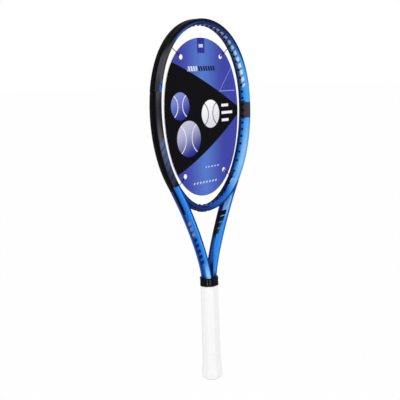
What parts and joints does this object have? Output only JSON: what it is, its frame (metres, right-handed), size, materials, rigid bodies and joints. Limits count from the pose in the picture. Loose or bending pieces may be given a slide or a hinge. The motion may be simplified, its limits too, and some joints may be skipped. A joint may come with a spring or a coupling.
{
  "type": "tennis racket",
  "caption": "Full-size unstrung tennis racket with a hollow frame, throat bridge, grommet strips, bumper guard and wrapped grip, and a display card on elastic ties in its head.",
  "frame": {"origin": "on the handle's axis, at the middle of the hand's hold, 90 mm above the butt end", "axes": "+X across the head to its right, +Y from the front face to the back, +Z along the racket from butt to tip"},
  "size_m": [0.2672, 0.0374, 0.685],
  "materials": {
    "carbon_frame": "clear-coated metallic blue and black paint over carbon composite",
    "grommet_nylon": "moulded black nylon",
    "foam_pallet": "moulded foam",
    "cap_plastic": "moulded white plastic",
    "staple_steel": "steel wire",
    "grip_wrap": "smooth white synthetic grip",
    "grip_tape": "white adhesive tape",
    "collar_rubber": "glossy black rubber",
    "printed_card": "printed and varnished board",
    "toggle_plastic": "black plastic",
    "elastic_cord": "black elastic"
  },
  "bodies": {
    "racket": {"frame": "carbon_frame", "throat_bridge": "carbon_frame", "head_bumper_guard": "grommet_nylon", "grommet_strip_left": "grommet_nylon", "grommet_strip_right": "grommet_nylon", "throat_grommet_strip": "grommet_nylon", "handle_pallet": "foam_pallet", "butt_cap": "cap_plastic", "butt_staples": "staple_steel", "base_grip": "grip_wrap", "finishing_tape": "grip_tape", "frame_toggles": "toggle_plastic", "tie_upper_left": "elastic_cord", "tie_upper_right": "elastic_cord", "tie_lower_left": "elastic_cord", "tie_lower_right": "elastic_cord"},
    "card": {"display_card": "printed_card", "card_toggles": "toggle_plastic"},
    "collar": {"rubber_collar": "collar_rubber"}
  },
  "joints": [
    {"name": "card_push", "type": "slide", "parent": "racket", "child": "card", "axis": [0, 1, 0], "range_m": [-0.008, 0.008], "stiffness_N_per_m": 60, "deforming": ["tie_upper_left", "tie_upper_right", "tie_lower_left", "tie_lower_right"]},
    {"name": "collar_slide", "type": "slide", "parent": "racket", "child": "collar", "axis": [0, 0, 1], "range_m": [0, 0.009]}
  ]
}
